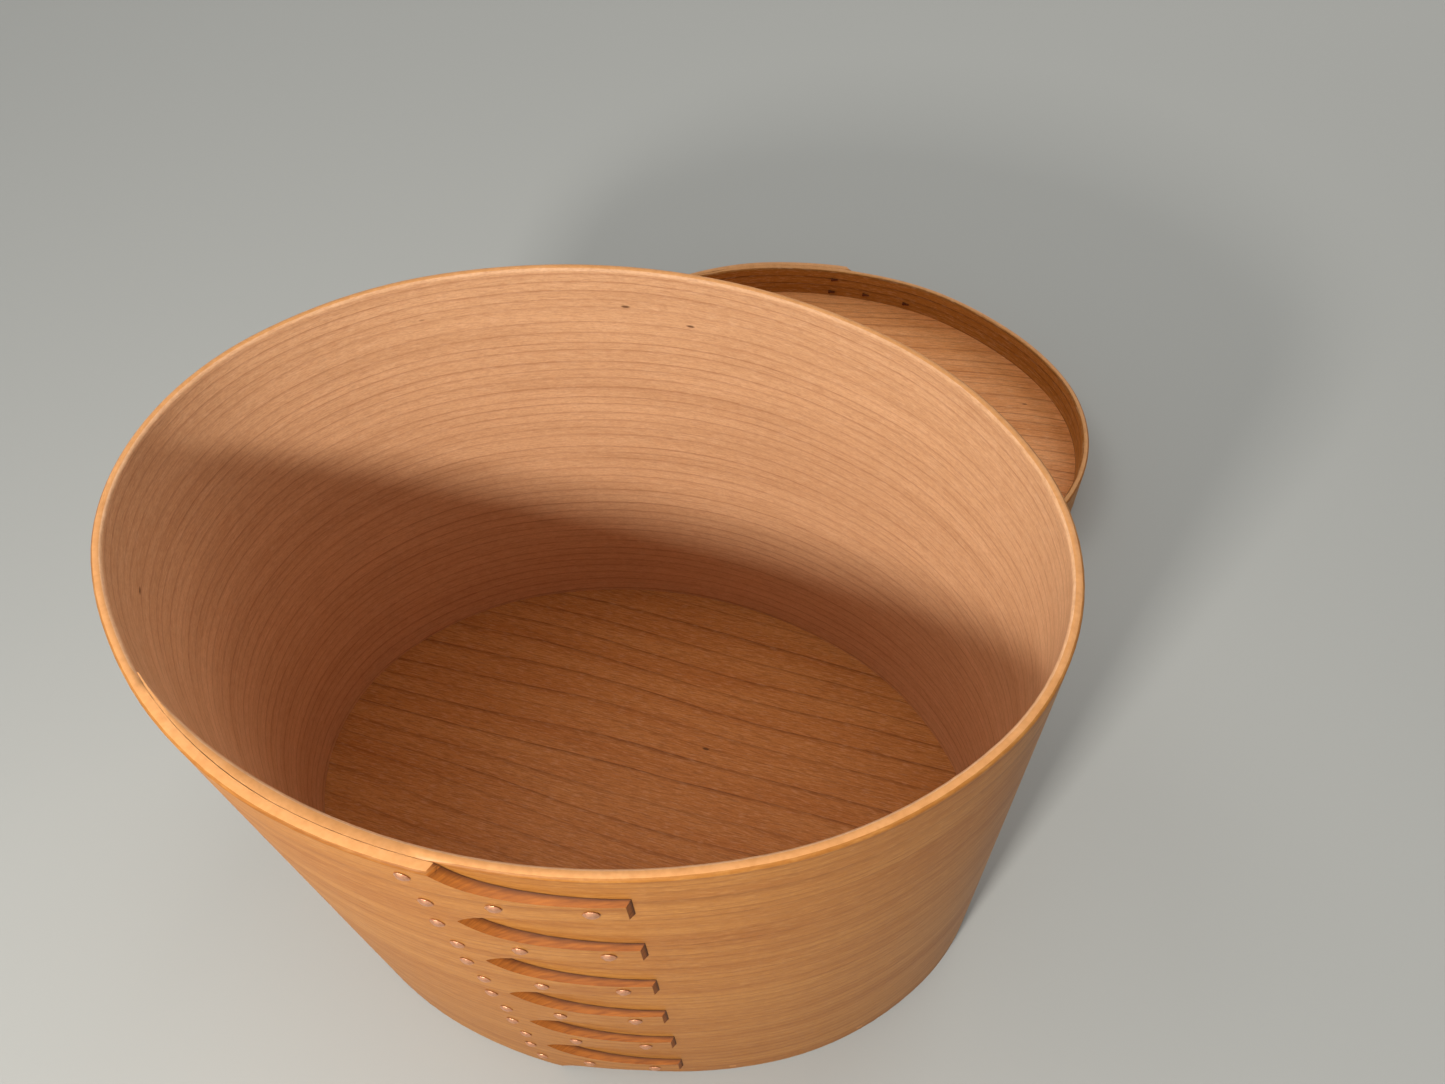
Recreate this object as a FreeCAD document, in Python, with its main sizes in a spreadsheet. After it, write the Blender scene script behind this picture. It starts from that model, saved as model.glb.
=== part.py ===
"""Oval bentwood box with a lift-off lid: two wound strips, two boards, copper tacks and wooden pegs.

Frame: millimetres, +Z up, origin at the middle of the box's underside, long axis along X.
The fingered lap is on the front, which faces -Y, and its finger tips point to +X.
Arc positions are measured along the inner oval from the middle of the front, counter-clockwise
seen from above, so that +X lies ahead.
"""
import FreeCAD, Part
import math
import os
from FreeCAD import Placement, Rotation, Vector

DRIVING_SIZES = [
    # name, value, what it is
    ("inner_half_length", 103.5, "half of the box's inside length"),
    ("inner_half_width", 76.0, "half of the box's inside width"),
    ("end_arc_radius", 58.2, "radius of the inner oval's end arcs"),
    ("side_flatness", 1.09, "side arc's radius against that of a plain four-arc oval"),
    ("shoulder_share", 0.413, "where the shoulder arc's radius lies between the end's and the side's"),
    ("band_height", 152.0, "height of the box's side strip"),
    ("lid_height", 20.0, "height of the lid's side strip"),
    ("strip_thickness", 2.3, "thickness of both side strips"),
    ("board_thickness", 7.0, "thickness of the bottom and of the lid's top"),
    ("board_clearance", 0.05, "play between a board and its strip"),
    ("lid_clearance", 0.5, "play between the lid and the box"),
    ("layer_gap", 0.08, "glue line between the layers of a lap"),
    ("lap_length", 30.0, "full double thickness behind the finger roots"),
    ("ramp_length", 60.0, "length over which the inner end is tapered away"),
    ("taper_end", 0.35, "thickness left at the tapered end"),
    ("rim_softening", 0.5, "how far the strips' long edges are eased"),
    ("board_softening", 0.5, "how far the boards' outer edges are eased"),
    ("box_fingers", 6, "number of fingers on the box"),
    ("finger_length", 33.5, "finger root to finger tip"),
    ("finger_tip_width", 6.2, "width of a finger at its tip"),
    ("finger_tip_thickness", 1.2, "thickness of a finger at its tip"),
    ("finger_bevel_angle", 32.0, "slope of the fingers' carved edges"),
    ("finger_end_bevel", 0.9, "length of the slope at a finger's blunt end"),
    ("root_opening", 3.5, "length of the steep part of a finger's edge, from its pointed root"),
    ("root_opening_share", 0.62, "share of a finger gap's half width reached over that length"),
    ("flare_length", 9.0, "length over which the edge turns towards the tip"),
    ("flare_share", 0.88, "share of a finger gap's half width reached over that length"),
    ("lap_joint_setback", 2.0, "where the fingered end is joined on, behind the finger roots"),
    ("gap_cut_lead", 2.0, "how far outside the lap a cut between fingers starts and ends"),
    ("gap_cut_overrun", 6.0, "how far a cut between fingers runs on past the tips"),
    ("lid_lap_shift", 4.0, "how far the lid's lap lies ahead of the box's"),
    ("tack_head_radius", 1.6, "radius of a tack's head"),
    ("tack_brim_height", 0.15, "height of a tack head's upright edge"),
    ("tack_crown_height", 0.45, "height of a tack head above its upright edge"),
    ("tack_crown_inset", 0.8, "edge of a tack's head to the flat left by the hammer"),
    ("tack_shank_width", 1.1, "width of a tack's square shank under the head"),
    ("tack_bend_width", 0.9, "width of the shank where it is bent over"),
    ("tack_point_width", 0.4, "width of a tack's clinched point"),
    ("tack_clinch_length", 2.4, "length of the point bent over inside"),
    ("tack_hole_clearance", 0.03, "play on each side of a tack's shank"),
    ("tack_head_gap", 0.08, "play under a tack's head"),
    ("tack_clinch_gap", 0.1, "play under a tack's clinched point, over the hollow of the wall"),
    ("seam_tack_setback", 4.0, "seam tacks behind the finger roots"),
    ("seam_tack_zigzag", 0.5, "seam tacks to either side of their line"),
    ("tack_edge_margin", 4.2, "open edge to the nearest seam tack"),
    ("tack_board_margin", 2.0, "board to the nearest seam tack"),
    ("root_tack_advance", 10.0, "root tacks ahead of the finger roots"),
    ("tip_tack_setback", 6.3, "tip tacks behind the finger tips"),
    ("peg_width", 1.8, "width of a square wooden peg at its outer end"),
    ("peg_point_width", 1.0, "width of a peg at its inner end"),
    ("peg_length", 12.0, "length of a wooden peg"),
    ("peg_clearance", 0.02, "play on each side of a peg"),
    ("peg_pitch", 38.0, "greatest distance between pegs round a board"),
    ("peg_lap_margin", 14.0, "lap to the nearest peg"),
    ("drill_lead", 0.5, "how far outside its wall a hole is started"),
    ("lid_ease_length", 45.0, "length over which the lid's strip returns past the box's finger tips"),
    ("lid_rest_x", 18.0, "where the turned-over lid lies, along the box"),
    ("lid_rest_gap", 1.1, "box's back to the turned-over lid's, were the two side by side"),
    ("lid_rest_yaw", 2.2, "how far the lid is turned on the table"),
]

SAMPLE = 12.0         # greatest spacing of the points that carry a curve
GAP_POINTS = 7        # points along each edge of the opening between two fingers
HEAD_FACETS = 10      # sides of a hammered tack's head
HALVINGS = 50         # steps of a search by halving

doc = FreeCAD.newDocument("oval_box")
sheet = doc.addObject("Spreadsheet::Sheet", "sizes")
for row, (alias, value, meaning) in enumerate(DRIVING_SIZES, start=1):
    sheet.set(f"A{row}", meaning)
    sheet.set(f"B{row}", str(value))
    sheet.setAlias(f"B{row}", alias)
doc.recompute()


def size(alias):
    """Return one driving size from the sheet."""
    return float(getattr(sheet, alias))


half_length = size("inner_half_length")
half_width = size("inner_half_width")
thickness = size("strip_thickness")
gap = size("layer_gap")
board = size("board_thickness")
finger_length = size("finger_length")
bevel = math.tan(math.radians(size("finger_bevel_angle")))


# The oval ------------------------------------------------------------------------------------

def oval_arcs():
    """Return the inner oval's arcs as (centre, radius, first angle, last angle), from the front.

    The angles are those of the outward normals. The side arcs are a little flatter than those
    of a plain four-arc oval, and a shoulder arc tangent to both joins each one to an end arc.
    """
    end = size("end_arc_radius")
    plain = (half_length ** 2 + half_width ** 2 - 2.0 * end * half_length) / (2.0 * (half_width - end))
    side = size("side_flatness") * plain
    shoulder = end + size("shoulder_share") * (side - end)
    end_centre = Vector(half_length - end, 0, 0)
    side_centre = Vector(0, half_width - side, 0)
    between = end_centre - side_centre
    span = between.Length
    along = (span ** 2 + (side - shoulder) ** 2 - (shoulder - end) ** 2) / (2.0 * span)
    aside = math.sqrt((side - shoulder) ** 2 - along ** 2)
    between.normalize()
    shoulder_centre = side_centre + between * along + Vector(-between.y, between.x, 0) * aside
    turn = math.atan2(end_centre.y - shoulder_centre.y, end_centre.x - shoulder_centre.x)
    meet = math.atan2(shoulder_centre.y - side_centre.y, shoulder_centre.x - side_centre.x)
    quarter = [
        (end_centre, end, 0.0, turn),
        (shoulder_centre, shoulder, turn, meet),
        (side_centre, side, meet, math.pi / 2.0),
    ]
    arcs = [(Vector(c.x, -c.y, 0), r, -last, -first) for c, r, first, last in reversed(quarter)]
    arcs += quarter
    arcs += [(Vector(-c.x, c.y, 0), r, math.pi - last, math.pi - first)
             for c, r, first, last in reversed(quarter)]
    arcs += [(-c, r, first + math.pi, last + math.pi) for c, r, first, last in quarter]
    return arcs


OVAL = oval_arcs()
OVAL_JOINTS = [0.0]
for _, radius, first, last in OVAL:
    OVAL_JOINTS.append(OVAL_JOINTS[-1] + radius * (last - first))
PERIMETER = OVAL_JOINTS[-1]


def oval_place(arc):
    """Return the oval's centre, radius and outward unit vector at an arc position."""
    rest = arc % PERIMETER
    i = max(k for k in range(len(OVAL)) if OVAL_JOINTS[k] <= rest)
    centre, radius, first, _ = OVAL[i]
    angle = first + (rest - OVAL_JOINTS[i]) / radius
    return centre, radius, Vector(math.cos(angle), math.sin(angle), 0)


def outward(arc):
    """Return the unit vector that points out of the box at an arc position."""
    return oval_place(arc)[2]


def wall(arc, offset, height=0.0):
    """Return the point at an arc position, offset outwards from the inner oval."""
    centre, radius, out = oval_place(arc)
    return centre + out * (radius + offset) + Vector(0, 0, height)


def smooth(value):
    """Return a soft step from 0 at 0 to 1 at 1."""
    value = min(max(value, 0.0), 1.0)
    return value * value * (3.0 - 2.0 * value)


def arcs_between(start, stop):
    """Return evenly spaced arc positions, both ends included."""
    count = max(2, math.ceil(abs(stop - start) / SAMPLE))
    return [start + (stop - start) * i / count for i in range(count + 1)]


def curve_through(points):
    """Return a smooth open curve through points."""
    curve = Part.BSplineCurve()
    curve.interpolate(points)
    return curve


def face_curves(offset, start, stop, steady):
    """Return the curves of a face whose distance from the inner oval is offset(arc).

    They are arcs in the lengths where the offset is steady, and smooth curves elsewhere.
    """
    def is_steady(arc):
        return any(low < arc < high for low, high in steady)

    turns = (-PERIMETER, 0.0, PERIMETER)
    joints = [joint + turn for turn in turns for joint in OVAL_JOINTS[1:]]
    marks = {arc for arc in joints if is_steady(arc)}
    marks.update(arc for length in steady for arc in length)
    cuts = [start] + sorted(arc for arc in marks if start < arc < stop) + [stop]
    curves = []
    for before, after in zip(cuts, cuts[1:]):
        middle = (before + after) / 2.0
        if is_steady(middle):
            curves.append(Part.Arc(*[wall(arc, offset(arc)) for arc in (before, middle, after)]))
        else:
            curves.append(curve_through([wall(arc, offset(arc)) for arc in arcs_between(before, after)]))
    return curves


# Document helpers ----------------------------------------------------------------------------

def origin_feature(body, role):
    """Return one of a body's own origin planes or axes."""
    return next(item for item in body.Origin.OriginFeatures if item.Role == role)


def add_sketch(body, name, geometry, plane="XY_Plane", distance=0.0, height=None):
    """Add a sketch on one of the body's origin planes, moved along the plane's normal.

    The distance is a number, or an expression of the sheet if height is given.
    """
    sketch = body.newObject("Sketcher::SketchObject", name)
    sketch.AttachmentSupport = [(origin_feature(body, plane), "")]
    sketch.MapMode = "FlatFace"
    sketch.AttachmentOffset = Placement(Vector(0, 0, distance), Rotation())
    if height is not None:
        sketch.setExpression("AttachmentOffset.Base.z", height)
    for item in geometry:
        sketch.addGeometry(item, False)
    return sketch


def add_pad(body, name, sketch, length_expression):
    """Pad a sketch upwards by an expression of the sheet."""
    pad = body.newObject("PartDesign::Pad", name)
    pad.Profile = sketch
    pad.setExpression("Length", length_expression)
    doc.recompute()
    return pad


def add_loft(body, name, sketches):
    """Add a ruled loft through closed outlines that have the same number of sides."""
    loft = body.newObject("PartDesign::AdditiveLoft", name)
    loft.Profile = sketches[0]
    loft.Sections = sketches[1:]
    loft.Ruled = True
    doc.recompute()
    return loft


def add_shape(name, shape, placement=None):
    """Add a finished shape to the document."""
    item = doc.addObject("Part::Feature", name)
    item.Shape = shape
    if placement is not None:
        item.Placement = placement
    return item


def add_cut(name, base, tool):
    """Cut one object with another."""
    cut = doc.addObject("Part::Cut", name)
    cut.Base = base
    cut.Tool = tool
    doc.recompute()
    return cut


# The wound strips ----------------------------------------------------------------------------

class WoundStrip:
    """A thin strip wound once round the oval, its tapered end lying under its fingered end."""

    def __init__(self, name, height_alias, fingers, shift, seat, seat_steady):
        self.name = name
        self.height_alias = height_alias
        self.height = size(height_alias)
        self.fingers = fingers
        self.shift = shift
        self.seat = seat
        self.seat_steady = seat_steady
        self.joint = shift - size("lap_joint_setback")
        self.full = shift - size("lap_length")
        self.ramp = self.full - size("ramp_length")
        self.steady = [
            (seat_steady[0], min(seat_steady[1], self.ramp + PERIMETER)),
            (self.full + PERIMETER, self.joint + PERIMETER),
        ]

    def rise(self, arc):
        """Return how far the outer layer stands off the seat, over the inner layer."""
        return (thickness + gap) * smooth((arc - self.ramp) / size("ramp_length"))

    def tapered_outer(self, arc):
        """Return the offset of the outer face of the tapered end, under the outer layer."""
        return self.seat(arc) + self.rise(arc) - gap

    def taper_start(self):
        """Return the arc at which the tapered end is taper_end thick."""
        return crossing(lambda arc: self.rise(arc) - gap - size("taper_end"), self.ramp, self.full)

    def inner(self, arc):
        """Return the offset of the strip's inner face, the lap's layer one perimeter on."""
        if arc <= self.ramp + PERIMETER:
            return self.seat(arc)
        return self.seat(arc) + self.rise(arc - PERIMETER)

    def outer(self, arc):
        """Return the offset of the strip's outer face."""
        along = arc - PERIMETER - self.shift
        thinned = (thickness - size("finger_tip_thickness")) * min(max(along / finger_length, 0.0), 1.0)
        return self.inner(arc) + thickness - thinned

    def lap_layer_outer(self, arc):
        """Return the offset of the outer layer's face at an arc position in the lap."""
        return self.outer(arc + PERIMETER)

    def outermost(self, arc):
        """Return the offset of whatever face is outermost at an arc position near the front."""
        if self.ramp < arc < self.shift + finger_length:
            return self.lap_layer_outer(arc)
        return self.outer(arc)

    def outline(self, inner, outer, start, stop, end_slope, ease):
        """Return the plan outline between two faces, each moved in by no more than ease."""
        def inset(arc):
            return min(ease, (outer(arc) - inner(arc)) / 3.0)

        far = stop + end_slope
        inside = face_curves(lambda arc: inner(arc) + inset(arc), start, far, self.steady)
        outside = face_curves(lambda arc: outer(arc) - inset(arc), start, stop, self.steady)
        ends = [
            Part.LineSegment(inside[0].StartPoint, outside[0].StartPoint),
            Part.LineSegment(inside[-1].EndPoint, outside[-1].EndPoint),
        ]
        return inside + outside + ends

    def add_length(self, name, inner, outer, start, stop, end_slope=0.0):
        """Add a body with a length of the strip: padded, and eased off towards both rims."""
        body = doc.addObject("PartDesign::Body", name)
        full = self.outline(inner, outer, start, stop, end_slope, 0.0)
        eased = self.outline(inner, outer, start, stop, end_slope, size("rim_softening"))
        top = f"sizes.{self.height_alias}"
        low, high = "sizes.rim_softening", f"{top} - sizes.rim_softening"
        middle = add_sketch(body, f"{name}_outline", full, height=low)
        add_pad(body, f"{name}_pad", middle, f"{top} - 2 * sizes.rim_softening")
        for rim, outer_height, inner_height in (("base", "0 mm", low), ("top", top, high)):
            edge = add_sketch(body, f"{name}_{rim}_edge", eased, height=outer_height)
            root = add_sketch(body, f"{name}_{rim}_root", full, height=inner_height)
            add_loft(body, f"{name}_{rim}", [edge, root])
        return body

    def front(self, x):
        """Return the Y of the lap's outer face at a distance x along the front."""
        low, high = self.shift - finger_length, self.shift + 2.0 * finger_length
        arc = crossing(lambda at: wall(at, self.lap_layer_outer(at)).x - x, low, high)
        return wall(arc, self.lap_layer_outer(arc)).y

    def gap_half_height(self, x):
        """Return half the opening between two fingers at x past their root, on the outer face."""
        depth = (self.height / self.fingers - size("finger_tip_width")) / 2.0
        poles = [
            (0.0, 0.0),
            (size("root_opening"), size("root_opening_share") * depth),
            (size("flare_length"), size("flare_share") * depth),
            (finger_length, depth),
        ]
        if x <= 0.0:
            return x * poles[1][1] / poles[1][0]
        part = crossing(lambda at: bezier(poles, at, 0) - x, 0.0, 1.0)
        return bezier(poles, part, 1)

    def gap_outline(self, plane_y):
        """Return the opening between two fingers where a plane across the front cuts it."""
        def half(x):
            return self.gap_half_height(x - self.shift) + bevel * (self.front(x) - plane_y)

        root = crossing(half, self.shift - finger_length, self.shift + finger_length)
        end = self.shift + finger_length + size("gap_cut_overrun")
        xs = [root + (end - root) * (i / (GAP_POINTS - 1)) ** 2 for i in range(GAP_POINTS)]
        upper = [Vector(root, 0, 0)] + [Vector(x, half(x), 0) for x in xs[1:]]
        lower = [Vector(point.x, -point.y, 0) for point in reversed(upper)]
        return [curve_through(upper), Part.LineSegment(upper[-1], lower[0]), curve_through(lower)]

    def add_fingers(self):
        """Add the fingered end: the lap's outer layer with bevelled openings cut between fingers."""
        stop = self.shift + finger_length + PERIMETER
        body = self.add_length(f"{self.name}_fingers", self.inner, self.outer,
                               self.joint + PERIMETER, stop, size("finger_end_bevel"))
        before = self.front(self.shift) - size("gap_cut_lead")
        behind = wall(stop, self.inner(stop)).y + size("gap_cut_lead")
        near = add_sketch(body, f"{self.name}_gap_outside", self.gap_outline(before), "XZ_Plane", -before)
        far = add_sketch(body, f"{self.name}_gap_inside", self.gap_outline(behind), "XZ_Plane", -behind)
        opening = body.newObject("PartDesign::SubtractiveLoft", f"{self.name}_finger_gap")
        opening.Profile = near
        opening.Sections = [far]
        opening.Ruled = True
        doc.recompute()
        pattern = body.newObject("PartDesign::LinearPattern", f"{self.name}_finger_gaps")
        pattern.Originals = [opening]
        pattern.Direction = (origin_feature(body, "Z_Axis"), [""])
        pattern.setExpression("Length", f"sizes.{self.height_alias}")
        pattern.Occurrences = self.fingers + 1
        body.Tip = pattern
        doc.recompute()
        return body

    def add_strip(self):
        """Add the whole strip as one piece."""
        strip = doc.addObject("Part::MultiFuse", f"{self.name}_strip")
        wall_body = self.add_length(f"{self.name}_wall", self.inner, self.outer,
                                    self.full, self.joint + PERIMETER)
        tapered_end = self.add_length(f"{self.name}_tapered_end", self.seat, self.tapered_outer,
                                      self.taper_start(), self.full)
        strip.Shapes = [wall_body, tapered_end, self.add_fingers()]
        doc.recompute()
        return strip


def crossing(function, low, high):
    """Return where a function that climbs between two places passes through zero."""
    for _ in range(HALVINGS):
        middle = (low + high) / 2.0
        if function(middle) < 0.0:
            low = middle
        else:
            high = middle
    return high


def bezier(poles, part, axis):
    """Return one coordinate of a cubic curve with four poles."""
    rest = 1.0 - part
    weights = (rest ** 3, 3 * rest * rest * part, 3 * rest * part * part, part ** 3)
    return sum(weight * pole[axis] for weight, pole in zip(weights, poles))


# Boards, tacks and pegs ----------------------------------------------------------------------

def add_board(strip, name, pad_from, rim_from, rim_to):
    """Add the board inside a strip: padded from one height, and eased between two heights."""
    body = doc.addObject("PartDesign::Body", name)
    start = strip.seat_steady[0]

    def outline(inset):
        play = size("board_clearance") + inset
        return face_curves(lambda arc: strip.seat(arc) - play, start, start + PERIMETER,
                           [strip.seat_steady])

    full, eased = outline(0.0), outline(size("board_softening"))
    add_pad(body, f"{name}_pad", add_sketch(body, f"{name}_outline", full, height=pad_from),
            "sizes.board_thickness - sizes.board_softening")
    root = add_sketch(body, f"{name}_rim_root", full, height=rim_from)
    edge = add_sketch(body, f"{name}_rim_edge", eased, height=rim_to)
    add_loft(body, f"{name}_rim", [root, edge])
    return body


def facing(arc, height, offset):
    """Return a placement on a wall: Z points out of the box, X ahead along the strip."""
    out = outward(arc)
    ahead = Vector(0, 0, 1).cross(out)
    return Placement(wall(arc, offset, height), Rotation(ahead, out.cross(ahead), out, "ZXY"))


def seam_tacks(strip, closed_edge_z):
    """Return the places of a strip's seam tacks, in a slight zigzag clear of its board."""
    board_side = board + size("tack_board_margin")
    if closed_edge_z == 0.0:
        low, high = board_side, strip.height - size("tack_edge_margin")
    else:
        low, high = size("tack_edge_margin"), strip.height - board_side
    count = 2 * strip.fingers
    places = []
    for i in range(count):
        side = size("seam_tack_zigzag") * (-1 if i % 2 else 1)
        arc = strip.shift - size("seam_tack_setback") + side
        places.append((arc, low + (high - low) * i / (count - 1)))
    return places


def finger_tacks(strip, advance):
    """Return the places of one tack in each finger, on its middle line."""
    pitch = strip.height / strip.fingers
    return [(strip.shift + advance, pitch * (i + 0.5)) for i in range(strip.fingers)]


def on_outer_face(strip, places):
    """Return placements on the lap's outer face."""
    return [facing(arc, height, strip.outermost(arc)) for arc, height in places]


def shape_wedge(wedge, near, far, outer_widths, inner_widths):
    """Give a wedge its length and its widths at the near and the far end."""
    wedge.Ymin, wedge.Ymax = near, far
    (wedge.Xmin, wedge.Xmax), (wedge.Zmin, wedge.Zmax) = outer_widths
    (wedge.X2min, wedge.X2max), (wedge.Z2min, wedge.Z2max) = inner_widths


def centred(width):
    """Return the two sides of a width about the middle."""
    return -width / 2.0, width / 2.0


def facets(radius):
    """Return the outline of a tack's head, which has flat sides."""
    corners = [Rotation(Vector(0, 0, 1), 360.0 * i / HEAD_FACETS).multVec(Vector(radius, 0, 0))
               for i in range(HEAD_FACETS)]
    return [Part.LineSegment(a, b) for a, b in zip(corners, corners[1:] + corners[:1])]


INWARDS = Rotation(Vector(1, 0, 0), -90)      # turns a wedge's length from Y to -Z
ALONG = Rotation(Vector(0, 0, 1), -90)        # turns a wedge's length from Y to X


def add_tack(name, grip):
    """Add one copper tack: low round head, tapered square shank and a point bent over inside."""
    shank, bend, point = size("tack_shank_width"), size("tack_bend_width"), size("tack_point_width")
    seat = size("tack_head_gap")
    inside = -(grip + size("tack_clinch_gap"))
    body = doc.addObject("PartDesign::Body", name)
    brim = add_sketch(body, f"{name}_brim", facets(size("tack_head_radius")),
                      height="sizes.tack_head_gap")
    head = add_pad(body, f"{name}_head", brim, "sizes.tack_brim_height + sizes.tack_crown_height")
    top = max(range(len(head.Shape.Faces)), key=lambda i: head.Shape.Faces[i].CenterOfMass.z)
    crown = body.newObject("PartDesign::Chamfer", f"{name}_crown")
    crown.Base = (head, [f"Face{top + 1}"])
    crown.ChamferType = "Two distances"
    crown.setExpression("Size", "sizes.tack_crown_height")
    crown.setExpression("Size2", "sizes.tack_crown_inset")
    doc.recompute()
    spike = body.newObject("PartDesign::AdditiveWedge", f"{name}_shank")
    spike.Placement = Placement(Vector(0, 0, 0), INWARDS)
    shape_wedge(spike, -seat, bend - inside,
                (centred(shank), centred(shank)), (centred(bend), centred(bend)))
    doc.recompute()
    clinch = body.newObject("PartDesign::AdditiveWedge", f"{name}_clinch")
    clinch.Placement = Placement(Vector(0, 0, 0), ALONG)
    shape_wedge(clinch, -bend / 2.0, size("tack_clinch_length"),
                (centred(bend), (inside - bend, inside)), (centred(point), (inside - point, inside)))
    doc.recompute()
    return body


def add_copies(name, pattern, placements):
    """Add one object that holds a copy of a solid at each placement."""
    copies = []
    for placement in placements:
        copy = pattern.Shape.copy()
        copy.Placement = placement.multiply(copy.Placement)
        copies.append(copy)
    return add_shape(name, Part.makeCompound(copies))


def add_spikes(name, placements, outer_width, inner_width, length, play=0.0):
    """Add square tapered spikes that run inwards, as one object; with play they are seats.

    A seat is wider by the play on each side and starts a little outside the wall.
    """
    taper = (outer_width - inner_width) / length
    near = -size("drill_lead") if play else 0.0
    outer, inner = centred(outer_width - taper * near + 2.0 * play), centred(inner_width + 2.0 * play)
    spikes = []
    for i, placement in enumerate(placements, start=1):
        spike = doc.addObject("Part::Wedge", f"{name}_{i}")
        shape_wedge(spike, near, length + play, (outer, outer), (inner, inner))
        spike.Placement = placement.multiply(Placement(Vector(0, 0, 0), INWARDS))
        spikes.append(spike)
    group = doc.addObject("Part::Compound", name)
    group.Links = spikes
    doc.recompute()
    return group


def peg_places(strip, height):
    """Return peg placements round a strip, clear of its lap's fingers and tacks."""
    first = strip.shift + finger_length + size("peg_lap_margin")
    last = strip.shift + PERIMETER - size("peg_lap_margin")
    count = math.ceil((last - first) / size("peg_pitch"))
    arcs = [first + (last - first) * i / count for i in range(count + 1)]
    places = []
    for arc in arcs:
        near = arc - PERIMETER if arc > PERIMETER / 2.0 else arc
        places.append(facing(near, height, strip.outermost(near)))
    return places


def add_vessel(strip, closed_edge_z, board_z, board_heights, names):
    """Add a strip with its board, tacks and pegs; return the finished pieces by name."""
    pieces = {}
    whole_strip = strip.add_strip()
    whole_board = add_board(strip, f"{strip.name}_board", *board_heights)
    groups = [
        (names["seam_tacks"], seam_tacks(strip, closed_edge_z)),
        (names["root_tacks"], finger_tacks(strip, size("root_tack_advance"))),
        (names["tip_tacks"], finger_tacks(strip, finger_length - size("tip_tack_setback"))),
    ]
    tack_placements = []
    for name, places in groups:
        placements = on_outer_face(strip, places)
        arc = places[0][0]
        grip = strip.outermost(arc) - strip.seat(arc)
        tack = add_tack(f"{name}_pattern", grip)
        pieces[name] = add_copies(name, tack, placements)
        tack_placements += placements
    tack_holes = add_spikes(f"{strip.name}_tack_holes", tack_placements, size("tack_shank_width"),
                            size("tack_bend_width"), 2.0 * thickness + gap + size("drill_lead"),
                            size("tack_hole_clearance"))
    pegs = peg_places(strip, board_z + board / 2.0)
    peg = (size("peg_width"), size("peg_point_width"), size("peg_length"))
    pieces[names["pegs"]] = add_spikes(names["pegs"], pegs, *peg)
    peg_holes = add_spikes(f"{strip.name}_peg_holes", pegs, *peg, size("peg_clearance"))
    tacked = add_cut(f"{strip.name}_strip_tacked", whole_strip, tack_holes)
    pieces[names["band"]] = add_cut(names["band"], tacked, peg_holes)
    pieces[names["board"]] = add_cut(names["board"], whole_board, peg_holes)
    return pieces


# The box and its lid -------------------------------------------------------------------------

lap_behind = size("lap_length")
box_strip = WoundStrip("box", "band_height", int(size("box_fingers")), 0.0,
                       lambda arc: 0.0, (-lap_behind, PERIMETER - lap_behind))


def over_box(arc):
    """Return the offset of the lid's inner face: round the box, its lap included."""
    near = (arc + PERIMETER / 2.0) % PERIMETER - PERIMETER / 2.0
    ease = smooth((near - finger_length) / size("lid_ease_length"))
    lap = box_strip.rise(near) * (1.0 - ease)
    return thickness + size("lid_clearance") + lap


lid_strip = WoundStrip("lid", "lid_height", 1, size("lid_lap_shift"), over_box,
                       (finger_length + size("lid_ease_length"), box_strip.ramp + PERIMETER))

bottom_heights = ("sizes.board_softening", "sizes.board_softening", "0 mm")
top_heights = (
    "sizes.lid_height - sizes.board_thickness",
    "sizes.lid_height - sizes.board_softening",
    "sizes.lid_height",
)
box_pieces = add_vessel(box_strip, 0.0, 0.0, bottom_heights, {
    "band": "box_band",
    "board": "box_bottom",
    "seam_tacks": "box_seam_tacks",
    "root_tacks": "finger_root_tacks",
    "tip_tacks": "finger_tip_tacks",
    "pegs": "bottom_pegs",
})
lid_pieces = add_vessel(lid_strip, lid_strip.height, lid_strip.height - board, top_heights, {
    "band": "lid_band",
    "board": "lid_top",
    "seam_tacks": "lid_seam_tacks",
    "root_tacks": "lid_root_tack",
    "tip_tacks": "lid_tip_tack",
    "pegs": "lid_pegs",
})

turned_over = Rotation(Vector(0, 0, 1), size("lid_rest_yaw")).multiply(Rotation(Vector(1, 0, 0), 180))
box_back = half_width + thickness
lid_back = box_back + size("lid_clearance") + thickness
rest_y = box_back + size("lid_rest_gap") + lid_back
beside_box = Placement(Vector(size("lid_rest_x"), rest_y, size("lid_height")), turned_over)
for piece in lid_pieces.values():
    piece.Placement = beside_box.multiply(piece.Placement)
doc.recompute()

for item in doc.Objects:
    if "Invalid" in item.State or "Error" in item.State:
        raise RuntimeError(f"{item.Label} failed: {item.State}")

os.makedirs("parts", exist_ok=True)
for name, piece in {**box_pieces, **lid_pieces}.items():
    piece.Label = name
    if piece.Shape.isNull() or not piece.Shape.isValid():
        raise RuntimeError(f"{name} has no valid shape")
    piece.Shape.exportStep(f"parts/{name}.step")
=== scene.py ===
import logging
import math
from dataclasses import dataclass, field
from enum import Enum, IntEnum
from typing import Any, Optional, Union

import bmesh
import bpy
from mathutils import Matrix, Vector
from mathutils.bvhtree import BVHTree


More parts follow.
